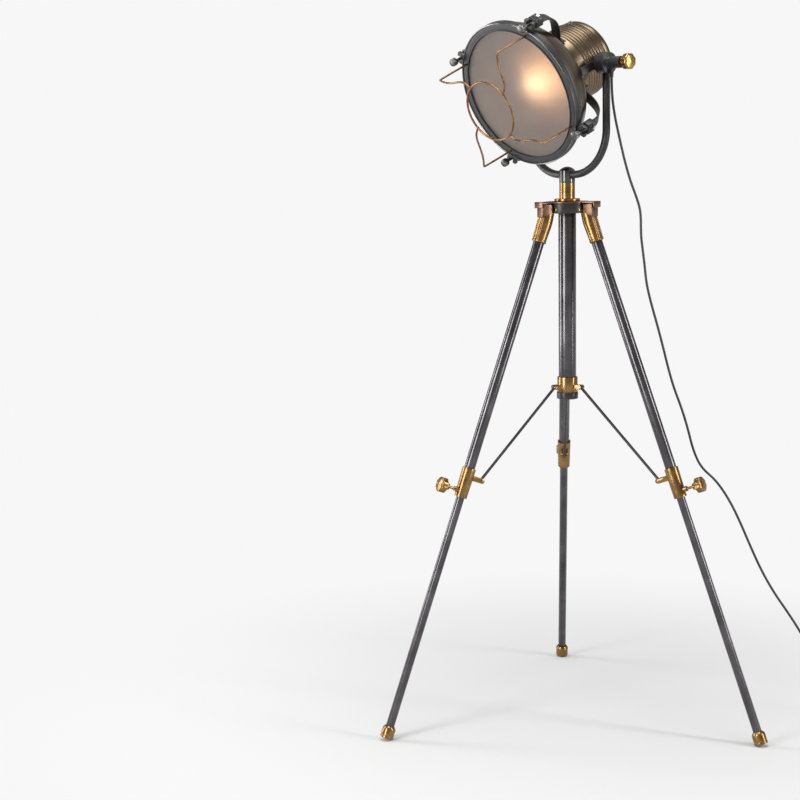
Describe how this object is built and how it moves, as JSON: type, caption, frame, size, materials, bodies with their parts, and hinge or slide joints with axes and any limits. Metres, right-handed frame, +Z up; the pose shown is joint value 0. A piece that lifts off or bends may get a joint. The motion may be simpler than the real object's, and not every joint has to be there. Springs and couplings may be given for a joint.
{
  "type": "tripod floor lamp",
  "caption": "Adjustable tripod floor lamp with a searchlight head in a swivelling yoke, telescoping folding legs, sliding spreader collar and mains cord.",
  "frame": {"origin": "on the floor under the column axis", "axes": "+Z up; +X along the head tilt axis; the head points towards -Y, 23.3 degrees below the horizontal"},
  "size_m": [0.8562, 1.1069, 1.6058],
  "materials": {
    "aged_brass": "antique brass, brushed and toned",
    "dark_brass": "dark antique brass, brushed round the axis",
    "copper_wire": "copper-toned wire, worn",
    "gunmetal": "polished black nickel",
    "satin_black": "satin black enamel",
    "black_screw": "blackened steel",
    "steel": "plain steel",
    "frosted_glass": "frosted",
    "bulb_glass": "frosted bulb, lit warm",
    "rubber_seal": "matt black",
    "spun_aluminium": "spun, satin",
    "white_ceramic": "unglazed white",
    "cord_black": "satin black sheath",
    "pin_nickel": "nickel plated"
  },
  "bodies": {
    "stand": {"hub_casting": "satin_black", "hinge_pins": "aged_brass", "hub_top_plate": "aged_brass", "stem_tube": "aged_brass", "column_tube": "gunmetal", "column_end_ring": "satin_black", "cord_lower": "cord_black", "cord_coil": "cord_black", "cord_tie": "cord_black", "plug_body": "cord_black", "plug_pins": "pin_nickel"},
    "yoke": {"swivel_cap": "gunmetal", "yoke_tube": "satin_black", "yoke_bosses": "satin_black", "cord_gland": "rubber_seal", "cord_upper": "cord_black"},
    "head": {"rear_housing": "dark_brass", "rear_cap": "dark_brass", "bell": "dark_brass", "rim_ring": "satin_black", "glass_gasket": "rubber_seal", "front_glass": "frosted_glass", "guard_wires": "copper_wire", "clamp_straps": "satin_black", "clamp_blocks": "satin_black", "head_screws": "steel", "reflector": "spun_aluminium", "lamp_holder": "white_ceramic", "bulb_cap": "spun_aluminium", "bulb_glass": "bulb_glass", "trunnion_bars": "satin_black"},
    "tilt_knob_right": {"tilt_knob_right": "aged_brass"},
    "tilt_knob_left": {"tilt_knob_left": "aged_brass"},
    "collar": {"spreader_collar": "aged_brass", "collar_pins": "steel"},
    "clamp_screw_1": {"clamp_screw_1": "black_screw"},
    "clamp_screw_2": {"clamp_screw_2": "black_screw"},
    "clamp_screw_3": {"clamp_screw_3": "black_screw"},
    "clamp_screw_4": {"clamp_screw_4": "black_screw"},
    "leg_right": {"elbow_right": "aged_brass", "upper_tube_right": "gunmetal", "sleeve_right": "aged_brass"},
    "lower_right": {"lower_tube_right": "gunmetal", "foot_right": "aged_brass"},
    "leg_knob_right": {"leg_knob_right": "aged_brass"},
    "strut_right": {"strut_right": "satin_black"},
    "leg_left": {"elbow_left": "aged_brass", "upper_tube_left": "gunmetal", "sleeve_left": "aged_brass"},
    "lower_left": {"lower_tube_left": "gunmetal", "foot_left": "aged_brass"},
    "leg_knob_left": {"leg_knob_left": "aged_brass"},
    "strut_left": {"strut_left": "satin_black"},
    "leg_back": {"elbow_back": "aged_brass", "upper_tube_back": "gunmetal", "sleeve_back": "aged_brass"},
    "lower_back": {"lower_tube_back": "gunmetal", "foot_back": "aged_brass"},
    "leg_knob_back": {"leg_knob_back": "aged_brass"},
    "strut_back": {"strut_back": "satin_black"}
  },
  "joints": [
    {"name": "yoke_swivel", "type": "hinge", "parent": "stand", "child": "yoke", "pos_m": [0, 0, 1.23812], "axis": [0, 0, 1], "range_deg": [-175, 175]},
    {"name": "head_tilt", "type": "hinge", "parent": "yoke", "child": "head", "pos_m": [0, 0, 1.49912], "axis": [-1, 0, 0], "range_deg": [-10, 85]},
    {"name": "tilt_knob_right_turn", "type": "hinge", "parent": "head", "child": "tilt_knob_right", "pos_m": [0.18, 0, 1.49912], "axis": [1, 0, 0], "range_deg": [0, 360]},
    {"name": "tilt_knob_left_turn", "type": "hinge", "parent": "head", "child": "tilt_knob_left", "pos_m": [-0.18, 0, 1.49912], "axis": [-1, 0, 0], "range_deg": [0, 360]},
    {"name": "clamp_screw_1_turn", "type": "hinge", "parent": "head", "child": "clamp_screw_1", "pos_m": [0.09281, -0.22091, 1.57215], "axis": [0, -0.9184, -0.3955], "range_deg": [0, 360]},
    {"name": "clamp_screw_2_turn", "type": "hinge", "parent": "head", "child": "clamp_screw_2", "pos_m": [-0.15446, -0.19652, 1.51553], "axis": [0, -0.9184, -0.3955], "range_deg": [0, 360]},
    {"name": "clamp_screw_3_turn", "type": "hinge", "parent": "head", "child": "clamp_screw_3", "pos_m": [-0.09281, -0.09871, 1.28843], "axis": [0, -0.9184, -0.3955], "range_deg": [0, 360]},
    {"name": "clamp_screw_4_turn", "type": "hinge", "parent": "head", "child": "clamp_screw_4", "pos_m": [0.15446, -0.1231, 1.34505], "axis": [0, -0.9184, -0.3955], "range_deg": [0, 360]},
    {"name": "leg_fold_right", "type": "hinge", "parent": "stand", "child": "leg_right", "pos_m": [0.04012, 0.01242, 1.17812], "axis": [-0.2957, 0.9553, 0], "range_deg": [0, 15]},
    {"name": "leg_slide_right", "type": "slide", "parent": "leg_right", "child": "lower_right", "axis": [-0.3283, -0.1016, 0.9391], "range_m": [0, 0.539]},
    {"name": "leg_knob_right_turn", "type": "hinge", "parent": "leg_right", "child": "leg_knob_right", "pos_m": [0.29858, 0.09243, 0.56574], "axis": [0.8971, 0.2777, 0.3437], "range_deg": [0, 360]},
    {"name": "leg_fold_left", "type": "hinge", "parent": "stand", "child": "leg_left", "pos_m": [-0.00931, -0.04096, 1.17812], "axis": [0.9751, -0.2215, 0], "range_deg": [0, 15]},
    {"name": "leg_slide_left", "type": "slide", "parent": "leg_left", "child": "lower_left", "axis": [0.0761, 0.3351, 0.9391], "range_m": [0, 0.539]},
    {"name": "leg_knob_left_turn", "type": "hinge", "parent": "leg_left", "child": "leg_knob_left", "pos_m": [-0.06925, -0.3048, 0.56574], "axis": [-0.2081, -0.9158, 0.3437], "range_deg": [0, 360]},
    {"name": "leg_fold_back", "type": "hinge", "parent": "stand", "child": "leg_back", "pos_m": [-0.03082, 0.02854, 1.17812], "axis": [-0.6794, -0.7337, 0], "range_deg": [0, 15]},
    {"name": "leg_slide_back", "type": "slide", "parent": "leg_back", "child": "lower_back", "axis": [0.2522, -0.2335, 0.9391], "range_m": [0, 0.539]},
    {"name": "leg_knob_back_turn", "type": "hinge", "parent": "leg_back", "child": "leg_knob_back", "pos_m": [-0.22934, 0.21237, 0.56574], "axis": [-0.689, 0.6381, 0.3437], "range_deg": [0, 360]},
    {"name": "collar_slide", "type": "slide", "parent": "stand", "child": "collar", "axis": [0, 0, 1], "range_m": [0, 0.05049]},
    {"name": "strut_fold_right", "type": "hinge", "parent": "collar", "child": "strut_right", "pos_m": [0.03248, 0.01005, 0.7718], "axis": [-0.2957, 0.9553, 0], "range_deg": [0, 37.91]},
    {"name": "strut_fold_left", "type": "hinge", "parent": "collar", "child": "strut_left", "pos_m": [-0.00753, -0.03315, 0.7718], "axis": [0.9751, -0.2215, 0], "range_deg": [0, 37.91]},
    {"name": "strut_fold_back", "type": "hinge", "parent": "collar", "child": "strut_back", "pos_m": [-0.02495, 0.0231, 0.7718], "axis": [-0.6794, -0.7337, 0], "range_deg": [0, 37.91]}
  ],
  "couplings": [
    {"joint": "leg_fold_left", "follows": "leg_fold_right", "ratio": 1},
    {"joint": "leg_fold_back", "follows": "leg_fold_right", "ratio": 1},
    {"joint": "collar_slide", "follows": "leg_fold_right", "m_per_rad": 0.19208},
    {"joint": "strut_fold_right", "follows": "leg_fold_right", "ratio": 2.5142},
    {"joint": "strut_fold_left", "follows": "leg_fold_right", "ratio": 2.5142},
    {"joint": "strut_fold_back", "follows": "leg_fold_right", "ratio": 2.5142}
  ]
}
